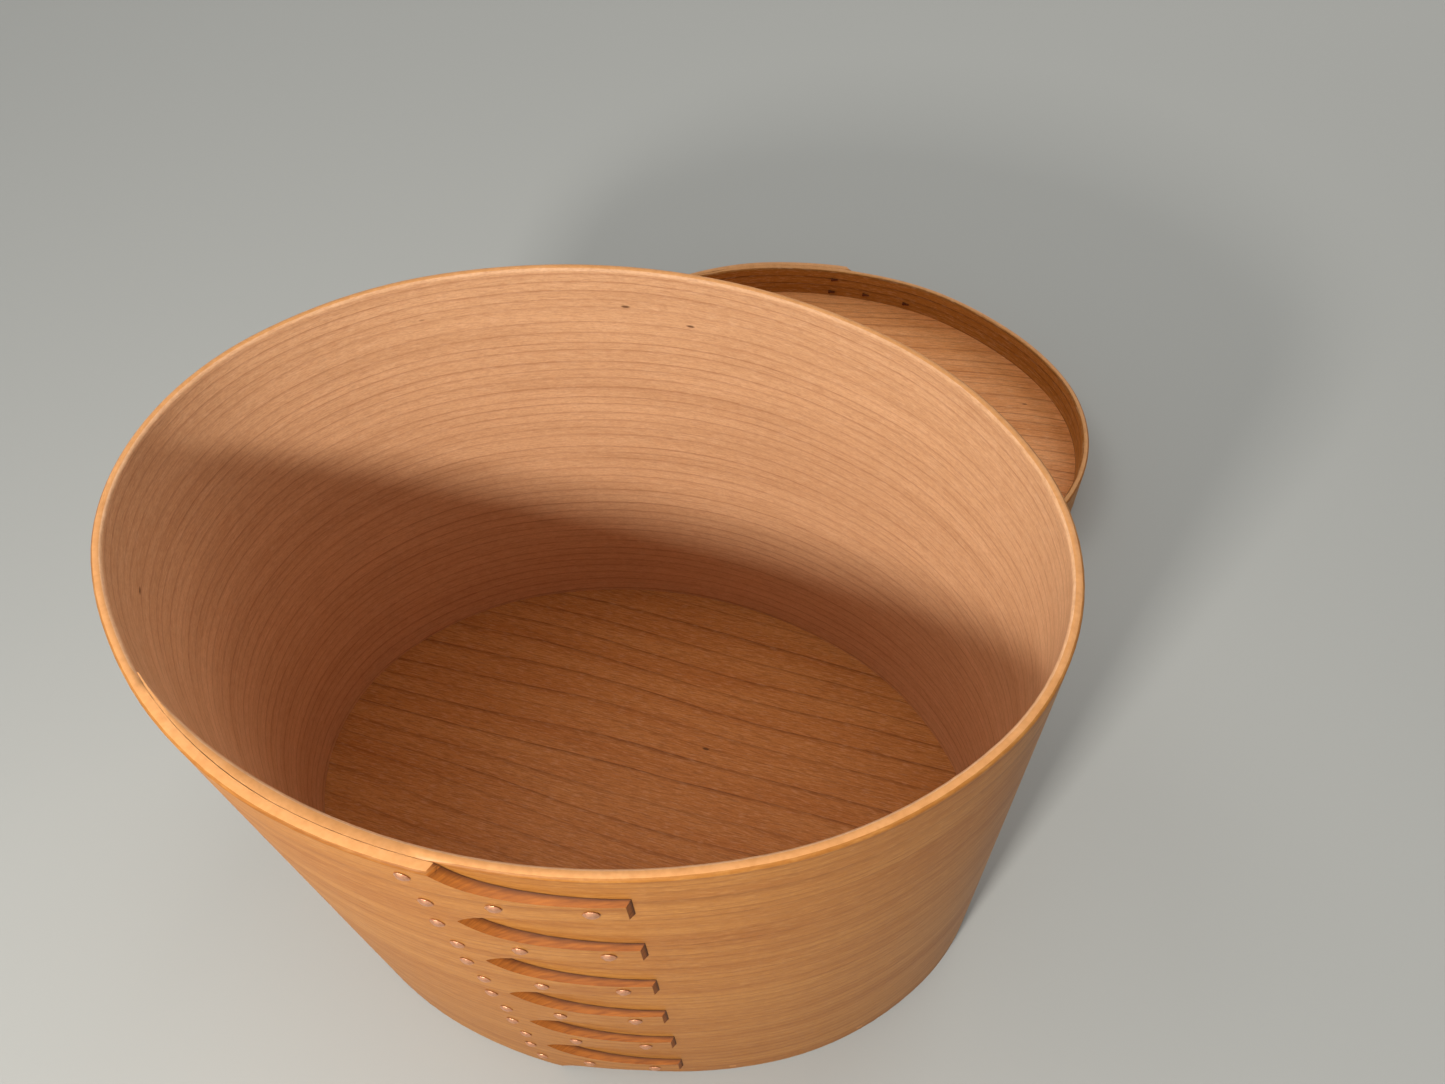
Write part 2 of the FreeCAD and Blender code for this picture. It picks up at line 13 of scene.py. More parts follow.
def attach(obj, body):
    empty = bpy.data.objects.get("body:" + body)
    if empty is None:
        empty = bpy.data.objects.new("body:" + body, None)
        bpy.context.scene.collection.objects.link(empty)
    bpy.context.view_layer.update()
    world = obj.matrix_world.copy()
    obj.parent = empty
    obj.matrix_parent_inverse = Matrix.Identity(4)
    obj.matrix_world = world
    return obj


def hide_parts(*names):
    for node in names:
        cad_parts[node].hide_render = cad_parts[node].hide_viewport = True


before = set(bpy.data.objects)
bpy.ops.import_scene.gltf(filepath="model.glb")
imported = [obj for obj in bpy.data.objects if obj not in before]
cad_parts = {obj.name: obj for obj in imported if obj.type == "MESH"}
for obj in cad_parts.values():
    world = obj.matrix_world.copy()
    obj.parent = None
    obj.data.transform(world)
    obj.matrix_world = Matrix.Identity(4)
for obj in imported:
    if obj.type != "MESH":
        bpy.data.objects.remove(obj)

LOG = logging.getLogger("oval_box")
MM = 0.001
# Where WoundBand writes, and CarvedCherry reads, how deep a carved face lies below the strip's face:
# the mask for the crevice's oil, dirt and painted shade.
DEPTH_LAYER = "cut_depth"
# Vertices of the construction's loose triangles that are closer than this are one.
MERGE_GAP = 0.001 * MM
# Cellulose and dried oil bend light as ordinary glass does.
WOOD_IOR = 1.5
# Oil fills the pores and cut fibres, so their relief shades this weakly.
WOOD_RELIEF = 0.15
WHITE = "#FFFFFF"

Socket = bpy.types.NodeSocket
Colour = tuple[float, float, float, float]
Pair = tuple[float, float]
Triple = tuple[float, float, float]


class GrainRun(Enum):
    """Which way the long fibres lie in a piece of wood."""

    ROUND_THE_WALL = "round the wall, level with the rim"
    ALONG_THE_BOARD = "along the board's long axis"


class Gloss(Enum):
    """How rough a surface was left by its last working, where equal ones are one member."""

    RUBBED_OIL = 0.48
    SANDED_EDGE = 0.42
    KNIFE_CUT = 0.58
    HAMMERED_METAL = 0.42
    MATT_FLOOR = 0.95


class NoiseEdge(Enum):
    """How ragged the edges of a pattern are, as octaves of its noise."""

    SMOOTH = 1.0
    RAGGED = 2.0
    CLOUDY = 3.0


class BandFace(IntEnum):
    """The kinds of face on a wound band, in the order of its material slots."""

    OUTSIDE = 0
    INSIDE = 1
    RIM = 2
    CARVED = 3


class TackPart(IntEnum):
    """The parts of a tack, in the order of its material slots."""

    HEAD = 0
    POINT = 1


def linear(hex_colour: str) -> Colour:
    """Turn an sRGB hex colour into a linear one.

    Args:
        hex_colour: Six hex digits after a hash.

    Returns:
        Linear red, green, blue and an alpha of 1.
    """
    parts = [int(hex_colour[i:i + 2], 16) / 255.0 for i in (1, 3, 5)]
    # The numbers are those of the sRGB standard's own curve.
    red, green, blue = (p / 12.92 if p <= 0.04045 else ((p + 0.055) / 1.055) ** 2.4 for p in parts)
    return red, green, blue, 1.0


@dataclass
class NodeSheet:
    """A material's or world's node tree, drawn up one node at a time."""

    tree: bpy.types.NodeTree

    def add(self, kind: str, inputs: Optional[dict[Any, Any]] = None, output: Union[int, str] = 0,
            **settings: Any) -> Optional[Socket]:
        """Add a node with its settings, and fill or link its inputs.

        Args:
            kind: The node's type name, without the ShaderNode that all of them start with.
            inputs: Values or sockets by input name or number.
            output: Name or number of the output that is wanted.
            **settings: Attributes of the node.

        Returns:
            The wanted output, or nothing from a node that has no output.
        """
        node = self.tree.nodes.new("ShaderNode" + kind)
        for name, value in settings.items():
            setattr(node, name, value)
        for key, value in (inputs or {}).items():
            if isinstance(value, bpy.types.NodeSocket):
                self.tree.links.new(value, node.inputs[key])
            else:
                node.inputs[key].default_value = value
        return node.outputs[output] if node.outputs else None

    def seen(self) -> Socket:
        """Tell the rays of the eye from those of the light.

        Returns:
            1 for what the camera sees, straight, mirrored or through glass, and 0 for light.
        """
        path = self.add("LightPath").node.outputs
        direct = self.add("Math", {0: path["Is Camera Ray"], 1: path["Is Glossy Ray"]},
                          operation="MAXIMUM")
        return self.add("Math", {0: direct, 1: path["Is Transmission Ray"]}, operation="MAXIMUM")


def blank_material(name: str) -> tuple[bpy.types.Material, NodeSheet]:
    """Make a material with an empty node tree.

    Args:
        name: The material's name.

    Returns:
        The material and its sheet of nodes.
    """
    material = bpy.data.materials.new(name)
    material.use_nodes = True
    material.node_tree.nodes.clear()
    return material, NodeSheet(material.node_tree)


@dataclass(frozen=True)
class OiledCherry:
    """Cherry, sliced thin or planed, sanded and rubbed with oil.

    Cherry shows narrow dark late-wood lines over faint cloudy bands, with short fine pores
    between them. Oil gives the eye a warm satin red-brown, darkest where the pores drink it.
    """

    name: str
    run: GrainRun
    pale: str
    warm: str
    line: str
    flecked: str = "#E6B98C"
    gum: str = "#43200C"
    # A year's width, how dark its late wood is, and how wide a line that makes, as a share of it.
    ring_mm: float = 4.0
    line_strength: float = 0.6
    line_width: float = 0.14
    # The line starts, is full and begins to end this many of its widths before the year's end,
    # and deepens by this power. Faint years and faded places keep these shares of its strength.
    line_start: float = 3.0
    line_full: float = 0.35
    line_end: float = 0.2
    line_power: float = 2.2
    faintest_year: float = 0.5
    faded: float = 0.55
    # How far the lines sweep and waver, and how far the piece was turned from the log's axis.
    drift_mm: float = 6.0
    waver_mm: float = 0.5
    tilt_deg: float = 0.0
    # Good and poor seasons come in turns of about three years, and shift a line by up to this
    # many years.
    season_scale: float = 0.31
    season_shift: float = 1.5
    # Sizes along and across the fibres. Real pores are about 0.05 to 0.1 mm across, too fine for
    # the render, so pores and specks are drawn a few times as wide.
    cloud_mm: Pair = (70.0, 7.0)
    sweep_mm: Pair = (150.0, 60.0)
    ripple_mm: Pair = (14.0, 6.0)
    fading_mm: Pair = (30.0, 5.0)
    fleck_mm: Pair = (3.5, 0.5)
    speck_mm: Pair = (0.9, 0.35)
    pore_mm: Pair = (3.0, 0.25)
    gum_cell_mm: Pair = (40.0, 14.0)
    # Levels of each pattern at which its marks start and are full, or for gum full and gone.
    cloud_levels: Pair = (0.3, 0.7)
    fading_levels: Pair = (0.3, 0.6)
    fleck_levels: Pair = (0.5, 0.7)
    speck_levels: Pair = (0.4, 0.7)
    pore_levels: Pair = (0.45, 0.75)
    gum_levels: Pair = (0.02, 0.036)
    # How strongly each kind of mark covers what lies under it.
    fleck_strength: float = 0.25
    speck_strength: float = 0.16
    pore_strength: float = 0.3
    gum_strength: float = 0.8
    # Late wood is harder and stands this share of a pore's depth above the rest.
    pit_depth_mm: float = 0.04
    late_height: float = 0.5
    # The oil dries uneven, so the roughness changes by this much about its own value.
    gloss: Gloss = Gloss.RUBBED_OIL
    gloss_spread: Pair = (-0.05, 0.06)
    shine: float = 0.2

    def material(self) -> bpy.types.Material:
        """Build the wood's material.

        Returns:
            A node material on Object coordinates.
        """
        material, sheet = blank_material(self.name)
        turn = (0.0, 0.0, math.radians(self.tilt_deg))
        place = sheet.add("Mapping", {"Vector": sheet.add("TexCoord", output="Object"),
                                      "Rotation": turn})

        cloud = self.drawn_noise(sheet, place, self.cloud_mm, NoiseEdge.CLOUDY)
        start, full = self.cloud_levels
        clouded = sheet.add("MapRange", {0: cloud, 1: start, 2: full})
        ground = sheet.add("Mix", {0: clouded, 6: linear(self.pale), 7: linear(self.warm)}, 2,
                           data_type="RGBA")
        late = self.late_wood(sheet, place)
        flecks = self.strokes(sheet, place, self.fleck_mm, NoiseEdge.RAGGED, self.fleck_levels,
                              self.fleck_strength)
        specks = self.strokes(sheet, place, self.speck_mm, NoiseEdge.SMOOTH, self.speck_levels,
                              self.speck_strength)
        pores = self.strokes(sheet, place, self.pore_mm, NoiseEdge.RAGGED, self.pore_levels,
                             self.pore_strength)
        gum = self.gum_spots(sheet, place)

        colour = ground
        for share, tint in ((late, self.line), (flecks, self.flecked), (specks, self.line),
                            (pores, self.line), (gum, self.gum)):
            colour = sheet.add("Mix", {0: share, 6: colour, 7: linear(tint)}, 2, data_type="RGBA")

        level = sheet.add("Math", {0: 1.0, 1: pores}, operation="SUBTRACT")
        relief = sheet.add("Math", {0: late, 1: self.late_height, 2: level}, operation="MULTIPLY_ADD")
        bump = sheet.add("Bump", {"Strength": WOOD_RELIEF, "Distance": self.pit_depth_mm * MM,
                                  "Height": relief})
        smoothest, roughest = (self.gloss.value + change for change in self.gloss_spread)
        rough = sheet.add("MapRange", {0: cloud, 3: smoothest, 4: roughest})
        skin = sheet.add("BsdfPrincipled", {"Base Color": colour, "Roughness": rough, "IOR": WOOD_IOR,
                                            "Specular IOR Level": self.shine, "Normal": bump})
        sheet.add("OutputMaterial", {"Surface": skin})
        return material

    def late_wood(self, sheet: NodeSheet, place: Socket) -> Socket:
        """Draw the dark end of each year's growth, uneven in spacing and in strength.

        Args:
            sheet: The material's nodes.
            place: The coordinates of the wood.

        Returns:
            How dark the late wood is, from 0 to the line strength.
        """
        across = sheet.add("SeparateXYZ", {0: place},
                           "Z" if self.run is GrainRun.ROUND_THE_WALL else "Y")
        sweep = self.drawn_noise(sheet, place, self.sweep_mm, NoiseEdge.SMOOTH)
        ripple = self.drawn_noise(sheet, place, self.ripple_mm, NoiseEdge.SMOOTH)
        swept = sheet.add("Math", {0: sweep, 1: self.drift_mm * MM, 2: across},
                          operation="MULTIPLY_ADD")
        bent = sheet.add("Math", {0: ripple, 1: self.waver_mm * MM, 2: swept},
                         operation="MULTIPLY_ADD")
        even = sheet.add("Math", {0: bent, 1: self.ring_mm * MM}, operation="DIVIDE")
        seasons = sheet.add("TexNoise", {"W": even, "Scale": self.season_scale,
                                         "Detail": NoiseEdge.SMOOTH.value}, "Fac",
                            noise_dimensions="1D")
        years = sheet.add("Math", {0: seasons, 1: self.season_shift, 2: even}, operation="MULTIPLY_ADD")

        # Within a year the wood darkens slowly towards the end and is pale again at once.
        part = sheet.add("Math", {0: years}, operation="FRACT")
        start, full, end = (1.0 - widths * self.line_width
                            for widths in (self.line_start, self.line_full, self.line_end))
        rise = sheet.add("MapRange", {0: part, 1: start, 2: full})
        fall = sheet.add("MapRange", {0: part, 1: end, 2: 1.0, 3: 1.0, 4: 0.0})
        sharp = sheet.add("Math", {0: rise, 1: self.line_power}, operation="POWER")
        dark = sheet.add("Math", {0: sharp, 1: fall}, operation="MULTIPLY")

        # Some years are darker than others, and each one fades in places along its length.
        year = sheet.add("Math", {0: years}, operation="FLOOR")
        lot = sheet.add("TexWhiteNoise", {"W": year}, "Value", noise_dimensions="1D")
        faintest = self.faintest_year * self.line_strength
        strength = sheet.add("MapRange", {0: lot, 3: faintest, 4: self.line_strength})
        noise = self.drawn_noise(sheet, place, self.fading_mm, NoiseEdge.SMOOTH)
        start, full = self.fading_levels
        fading = sheet.add("MapRange", {0: noise, 1: start, 2: full, 3: self.faded})
        lined = sheet.add("Math", {0: dark, 1: strength}, operation="MULTIPLY")
        return sheet.add("Math", {0: lined, 1: fading}, operation="MULTIPLY")

    def gum_spots(self, sheet: NodeSheet, place: Socket) -> Socket:
        """Scatter a few small dark spots of gum, each drawn out along the fibres.

        Args:
            sheet: The material's nodes.
            place: The coordinates of the wood.

        Returns:
            Where there is gum, from 0 to the gum's strength.
        """
        cells = self.drawn(sheet, place, self.gum_cell_mm)
        near = sheet.add("TexVoronoi", {"Vector": cells, "Scale": 1.0}, "Distance")
        full, gone = self.gum_levels
        return sheet.add("MapRange", {0: near, 1: full, 2: gone, 3: self.gum_strength, 4: 0.0})

    def strokes(self, sheet: NodeSheet, place: Socket, size_mm: Pair, edge: NoiseEdge, levels: Pair,
                strength: float) -> Socket:
        """Spread short strokes over the wood, drawn out along the fibres.

        Args:
            sheet: The material's nodes.
            place: The coordinates of the wood.
            size_mm: Size along and across the fibres.
            edge: How ragged the strokes are.
            levels: Levels of the noise at which a stroke starts and is full.
            strength: The full strength.

        Returns:
            Where the strokes are, from 0 to the full strength.
        """
        noise = self.drawn_noise(sheet, place, size_mm, edge)
        return sheet.add("MapRange", {0: noise, 1: levels[0], 2: levels[1], 4: strength})

    def drawn_noise(self, sheet: NodeSheet, place: Socket, size_mm: Pair, edge: NoiseEdge) -> Socket:
        """Add noise drawn out along the fibres.

        Args:
            sheet: The material's nodes.
            place: The coordinates of the wood.
            size_mm: Feature size along and across the fibres.
            edge: How ragged the pattern is.

        Returns:
            The noise, from 0 to 1.
        """
        drawn = self.drawn(sheet, place, size_mm)
        return sheet.add("TexNoise", {"Vector": drawn, "Scale": 1.0, "Detail": edge.value}, "Fac")

    def drawn(self, sheet: NodeSheet, place: Socket, size_mm: Pair) -> Socket:
        """Stretch coordinates along the fibres.

        Args:
            sheet: The material's nodes.
            place: The coordinates of the wood.
            size_mm: Sizes along and across the fibres that become one unit.

        Returns:
            The stretched coordinates.
        """
        along, across = (1.0 / (length * MM) for length in size_mm)
        width = along if self.run is GrainRun.ROUND_THE_WALL else across
        return sheet.add("Mapping", {"Vector": place, "Scale": (along, width, across)})


@dataclass(frozen=True)
class CarvedCherry:
    """Cherry cut across its fibres with a knife.

    Oil sinks into the open fibres and turns them deep orange-brown. Oil and dirt in the crevice
    where a carved edge meets the wall below it, and painted shade there, make it darkest.
    """

    name: str = "carved_cherry"
    pale: str = "#A35E1E"
    deep: str = "#7C4212"
    crevice_dirt_and_shade: str = "#341503"
    # Length and thickness of a bundle of fibres. A real fibre is about 0.02 mm thick, too fine
    # for the render, so bundles of fifteen are drawn.
    bundle_mm: Pair = (4.0, 0.3)
    bundle_levels: Pair = (0.25, 0.75)
    cut_depth_mm: float = 0.03
    # The crevice's darkening, oil and dirt with painted shade, starts at this share of the cut's depth,
    # and covers so much of it.
    crevice_dirt_and_shade_from: float = 0.5
    crevice_dirt_and_shade_strength: float = 0.85
    shine: float = 0.2
    gloss: Gloss = Gloss.KNIFE_CUT

    def material(self) -> bpy.types.Material:
        """Build the carved wood's material.

        Returns:
            A node material on Object coordinates.
        """
        material, sheet = blank_material(self.name)
        along, across = (1.0 / (size * MM) for size in self.bundle_mm)
        drawn = sheet.add("Mapping", {"Vector": sheet.add("TexCoord", output="Object"),
                                      "Scale": (along, along, across)})
        fibres = sheet.add("TexNoise", {"Vector": drawn, "Scale": 1.0,
                                        "Detail": NoiseEdge.RAGGED.value}, "Fac")
        start, full = self.bundle_levels
        share = sheet.add("MapRange", {0: fibres, 1: start, 2: full})
        colour = sheet.add("Mix", {0: share, 6: linear(self.pale), 7: linear(self.deep)}, 2,
                           data_type="RGBA")
        # Oil, dirt and painted shade: the carved face darkens towards its deepest edge, the crevice at
        # the wall below.
        depth = sheet.add("Attribute", output="Fac", attribute_name=DEPTH_LAYER)
        shade = sheet.add("MapRange", {0: depth, 1: self.crevice_dirt_and_shade_from, 4: self.crevice_dirt_and_shade_strength})
        colour = sheet.add("Mix", {0: shade, 6: colour, 7: linear(self.crevice_dirt_and_shade)}, 2, data_type="RGBA")
        bump = sheet.add("Bump", {"Strength": WOOD_RELIEF, "Distance": self.cut_depth_mm * MM,
                                  "Height": fibres})
        skin = sheet.add("BsdfPrincipled",
                         {"Base Color": colour, "Roughness": self.gloss.value, "IOR": WOOD_IOR,
                          "Specular IOR Level": self.shine, "Normal": bump})
        sheet.add("OutputMaterial", {"Surface": skin})
        return material


@dataclass(frozen=True)
class HammeredCopper:
    """Soft copper tacks, flattened by the hammer: pinkish, with small dents that break the shine."""

    name: str = "hammered_copper"
    bright: str = "#EEB590"
    dull: str = "#C4845F"
    dent_mm: float = 0.5
    dent_depth_mm: float = 0.08
    dent_strength: float = 0.35
    gloss: Gloss = Gloss.HAMMERED_METAL

    @classmethod
    def browned_and_shaded(cls) -> "HammeredCopper":
        """Return copper for the clinched points: browned where they are sunk into the oiled wood, and
        darkened further as painted shade.
        """
        return cls("browned_and_shaded_copper", "#7C4A30", "#4E2A18", dent_mm=0.8, gloss=Gloss.KNIFE_CUT)

    def material(self) -> bpy.types.Material:
        """Build the copper's material.

        Returns:
            A node material on Object coordinates.
        """
        material, sheet = blank_material(self.name)
        place = sheet.add("TexCoord", output="Object")
        dents = sheet.add("TexNoise", {"Vector": place, "Scale": 1.0 / (self.dent_mm * MM),
                                       "Detail": NoiseEdge.RAGGED.value}, "Fac")
        colour = sheet.add("Mix", {0: dents, 6: linear(self.bright), 7: linear(self.dull)}, 2,
                           data_type="RGBA")
        bump = sheet.add("Bump", {"Strength": self.dent_strength,
                                  "Distance": self.dent_depth_mm * MM, "Height": dents})
        skin = sheet.add("BsdfPrincipled", {"Base Color": colour, "Metallic": 1.0,
                                            "Roughness": self.gloss.value, "Normal": bump})
        sheet.add("OutputMaterial", {"Surface": skin})
        return material


@dataclass(frozen=True)
class PaleFloor:
    """A plain matt table top of pale grey plaster, which runs out into a white background."""

    name: str = "pale_floor"
    colour: str = "#A6A8A5"
    # How far out, in metres, the floor starts to turn white and is all white.
    fade_from: float = 0.7
    fade_to: float = 1.6
    gloss: Gloss = Gloss.MATT_FLOOR

    def material(self) -> bpy.types.Material:
        """Build the floor's material.

        Returns:
            A matt material that turns white far out, for the eye and in reflections alone.
        """
        material, sheet = blank_material(self.name)
        skin = sheet.add("BsdfPrincipled",
                         {"Base Color": linear(self.colour), "Roughness": self.gloss.value})
        place = sheet.add("TexCoord", output="Object")
        out = sheet.add("VectorMath", {0: place}, "Value", operation="LENGTH")
        far = sheet.add("MapRange", {0: out, 1: self.fade_from, 2: self.fade_to},
                        interpolation_type="SMOOTHSTEP")
        share = sheet.add("Math", {0: far, 1: sheet.seen()}, operation="MULTIPLY")
        white = sheet.add("Emission", {"Color": linear(WHITE), "Strength": 1.0})
        both = sheet.add("MixShader", {0: share, 1: skin, 2: white})
        sheet.add("OutputMaterial", {"Surface": both})
        return material


@dataclass(frozen=True)
class OvalPlan:
    """The inner oval of the box: end, shoulder and side arcs, tangent to each other.

    The side's radius is side_flatness times that of an oval without a shoulder arc, and the
    shoulder's lies between the end's and the side's, at shoulder_share of the way.
    """

    half_length: float = 103.5 * MM
    half_width: float = 76.0 * MM
    end_radius: float = 58.2 * MM
    side_flatness: float = 1.09
    shoulder_share: float = 0.413

    def quarter(self) -> list[Vector]:
        """Work out where the arcs of one quarter are centred.

        Returns:
            The centres of the end, shoulder and side arcs, on the side of +X and +Y.
        """
        end = self.end_radius
        plain = self.half_length ** 2 + self.half_width ** 2 - 2.0 * end * self.half_length
        side = self.side_flatness * plain / (2.0 * (self.half_width - end))
        shoulder = end + self.shoulder_share * (side - end)
        end_centre = Vector((self.half_length - end, 0.0))
        side_centre = Vector((0.0, self.half_width - side))
        between = end_centre - side_centre
        along = (between.length ** 2 + (side - shoulder) ** 2
                 - (shoulder - end) ** 2) / (2.0 * between.length)
        aside = math.sqrt((side - shoulder) ** 2 - along ** 2)
        between.normalize()
        shoulder_centre = side_centre + between * along + Vector((-between.y, between.x)) * aside
        return [end_centre, shoulder_centre, side_centre]

    def reach(self, point: Vector) -> Vector:
        """Find how a place lies from the centre of the arc that it belongs to.

        Args:
            point: A place near the wall, in the strip's own frame.

        Returns:
            The level vector from the arc's centre to the place.
        """
        end, shoulder, side = self.quarter()
        folded = Vector((abs(point.x), abs(point.y)))
        if (folded - shoulder).cross(end - shoulder) >= 0.0:
            centre = end
        elif (folded - side).cross(shoulder - side) >= 0.0:
            centre = shoulder
        else:
            centre = side
        way = folded - centre
        return Vector((math.copysign(way.x, point.x), math.copysign(way.y, point.y), 0.0))

    def outward(self, point: Vector) -> Vector:
        """Return the level unit vector that points out of the box at a place near the wall."""
        return self.reach(point).normalized()


def merged_copy(node: str) -> bmesh.types.BMesh:
    """Copy a construction node's mesh and join its vertices again.

    Args:
        node: The node's name.

    Returns:
        The mesh, closed and with its normals outward, in the shared frame.
    """
    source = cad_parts[node]
    shape = bmesh.new()
    shape.from_mesh(source.data)
    bmesh.ops.transform(shape, matrix=source.matrix_world, verts=shape.verts)
    bmesh.ops.remove_doubles(shape, verts=shape.verts, dist=MERGE_GAP)
    bmesh.ops.recalc_face_normals(shape, faces=shape.faces)
    return shape


def finished(shape: bmesh.types.BMesh, name: str, node: str, body: str,
             materials: list[bpy.types.Material], crease_deg: float) -> bpy.types.Object:
    """Turn a mesh into a shown piece that stands for a construction node.

    Args:
        shape: The mesh, which is freed.
        name: The piece's name.
        node: The node it stands for.
        body: The body it moves with.
        materials: Its materials, in slot order.
        crease_deg: Angle from which an edge between faces looks sharp.

    Returns:
        The new object.
    """
    mesh = bpy.data.meshes.new(name)
    for face in shape.faces:
        face.smooth = True
    shape.to_mesh(mesh)
    shape.free()
    # The mesh may still carry the normals of the construction's flat triangles.
    stored = mesh.attributes.get("custom_normal")
    if stored is not None:
        mesh.attributes.remove(stored)
    mesh.set_sharp_from_angle(angle=math.radians(crease_deg))
    for material in materials:
        mesh.materials.append(material)
    piece = bpy.data.objects.new(name, mesh)
    bpy.context.scene.collection.objects.link(piece)
    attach(piece, body)
    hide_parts(node)
    LOG.info("%s made, %d faces", name, len(mesh.polygons))
    return piece


@dataclass
class WoundBand:
    """A thin strip of cherry wound round the oval, with its rims worn soft by sanding."""

    node: str
    body: str
    stands: Matrix
    height: float
    plan: OvalPlan = field(default_factory=OvalPlan)
    rim_easing: float = 0.5 * MM
    # A loop of edges this far inside the easing keeps the wall's shading flat.
    rim_support: float = 0.5 * MM
    # An eased edge spans at least this share of the easing in height.
    least_span: float = 0.8
    # A layer within the gap is touching, seen by a ray that starts a little off the face.
    layer_gap: float = 0.3 * MM
    ray_lead: float = 0.02 * MM
    # A wall or rim faces straight out or up by at least the first, an eased edge by the second.
    least_facing: float = 0.93
    least_eased_facing: float = 0.3
    # A shallower carved face gets no darkening of oil, dirt and painted shade along its crevice.
    least_depth: float = 0.2 * MM
    crease_deg: float = 50.0

    def level_rims(self, shape: bmesh.types.BMesh) -> None:
        """Level the rims across the lap, where sanding left only a hairline between the layers.

        Args:
            shape: The band's mesh, in the strip's own frame, each layer eased on both its edges.
        """
        walls = BVHTree.FromBMesh(shape)
        moves = {}
        for vert in shape.verts:
            roots = [edge.other_vert(vert) for edge in vert.link_edges]
            roots = [root for root in roots
                     if abs(root.co.z - vert.co.z) > self.least_span * self.rim_easing]
            if not roots or self.rim_easing / 2.0 < vert.co.z < self.height - self.rim_easing / 2.0:
                continue
            outward = self.plan.outward(vert.co)
            root = min(roots, key=lambda other: (other.co - vert.co).length)
            easing = (root.co - vert.co).dot(outward)
            towards = outward * math.copysign(1.0, easing)
            below = Vector((0.0, 0.0, root.co.z - vert.co.z))
            start = root.co + below + towards * self.ray_lead
            if walls.ray_cast(start, towards, self.layer_gap)[0] is not None:
                moves[vert] = outward * easing
        for vert, move in moves.items():
            vert.co += move
        LOG.info("%s: %d rim points levelled", self.node, len(moves))

    def kind(self, face: bmesh.types.BMFace) -> BandFace:
        """Tell what a face of the band is.

        Args:
            face: The face, in the strip's own frame.

        Returns:
            The kind of face.
        """
        place = face.calc_center_median()
        if abs(face.normal.z) > self.least_facing:
            return BandFace.RIM
        facing = face.normal.dot(self.plan.outward(place))
        eased = not self.rim_easing < place.z < self.height - self.rim_easing
        if abs(facing) < (self.least_eased_facing if eased else self.least_facing):
            return BandFace.CARVED
        return BandFace.OUTSIDE if facing > 0.0 else BandFace.INSIDE

    def sink(self, face: bmesh.types.BMFace, layer: bmesh.types.BMLayerItem) -> None:
        """Write on a carved face how deep each of its corners lies, from 0 to 1: the mask for its
        crevice's painted shade and dirt.

        Args:
            face: The carved face, in the strip's own frame.
            layer: The layer for the depth of each corner.
        """
        outward = self.plan.outward(face.calc_center_median())
        reach = [loop.vert.co.dot(outward) for loop in face.loops]
        depth = max(reach) - min(reach)
        for loop, out in zip(face.loops, reach):
            loop[layer] = (max(reach) - out) / depth if depth > self.least_depth else 0.0

    def build(self, materials: list[bpy.types.Material]) -> bpy.types.Object:
        """Make the shown band.

        Args:
            materials: Its materials, in the order of BandFace.

        Returns:
            The band's object.
        """
        shape = merged_copy(self.node)
        bmesh.ops.transform(shape, matrix=self.stands.inverted(), verts=shape.verts)
        self.level_rims(shape)
        inset = self.rim_easing + self.rim_support
        for level in (inset, self.height - inset):
            bmesh.ops.bisect_plane(shape, geom=[*shape.verts, *shape.edges, *shape.faces],
                                   plane_co=(0.0, 0.0, level), plane_no=(0.0, 0.0, 1.0))
        shape.normal_update()
        layer = shape.loops.layers.float.new(DEPTH_LAYER)
        for face in shape.faces:
            face.material_index = self.kind(face)
            if face.material_index == BandFace.CARVED:
                self.sink(face, layer)
        bmesh.ops.transform(shape, matrix=self.stands, verts=shape.verts)
        return finished(shape, f"{self.node}_shown", self.node, self.body, materials, self.crease_deg)


@dataclass
class CopperTacks:
    """A row of copper tacks with soft, hammered heads and clinched points."""

    node: str
    body: str
    stands: Matrix
    plan: OvalPlan = field(default_factory=OvalPlan)
    # The hammer leaves the edges round: a bevel on every edge sharper than edge_deg.
    softening: float = 0.14 * MM
    bevel_steps: int = 3
    edge_deg: float = 20.0
    flat_deg: float = 1.0
    crease_deg: float = 75.0

    def build(self, copper: list[bpy.types.Material]) -> bpy.types.Object:
        """Make the shown tacks.

        Args:
            copper: Their finishes, in the order of TackPart.

        Returns:
            The tacks' object.
        """
        shape = merged_copy(self.node)
        bmesh.ops.dissolve_limit(shape, angle_limit=math.radians(self.flat_deg), verts=shape.verts,
                                 edges=shape.edges)
        to_strip = self.stands.inverted()
        out = [self.plan.reach(to_strip @ face.calc_center_median()).length for face in shape.faces]
        middle = (min(out) + max(out)) / 2.0
        for face, length in zip(shape.faces, out):
            face.material_index = TackPart.POINT if length < middle else TackPart.HEAD
        piece = finished(shape, f"{self.node}_shown", self.node, self.body, copper, self.crease_deg)
        rounding = piece.modifiers.new("hammered_edges", "BEVEL")
        rounding.affect = "EDGES"
        rounding.width = self.softening
        rounding.segments = self.bevel_steps
        rounding.profile = 0.5
        rounding.material = -1
        rounding.limit_method = "ANGLE"
        rounding.angle_limit = math.radians(self.edge_deg)
        return piece


def dress(node: str, material: bpy.types.Material) -> None:
    """Put a material on every slot of a construction node.

    Args:
        node: The node's name.
        material: The finish.
    """
    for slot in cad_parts[node].material_slots:
        slot.material = material
    LOG.info("%s dressed in %s", node, material.name)


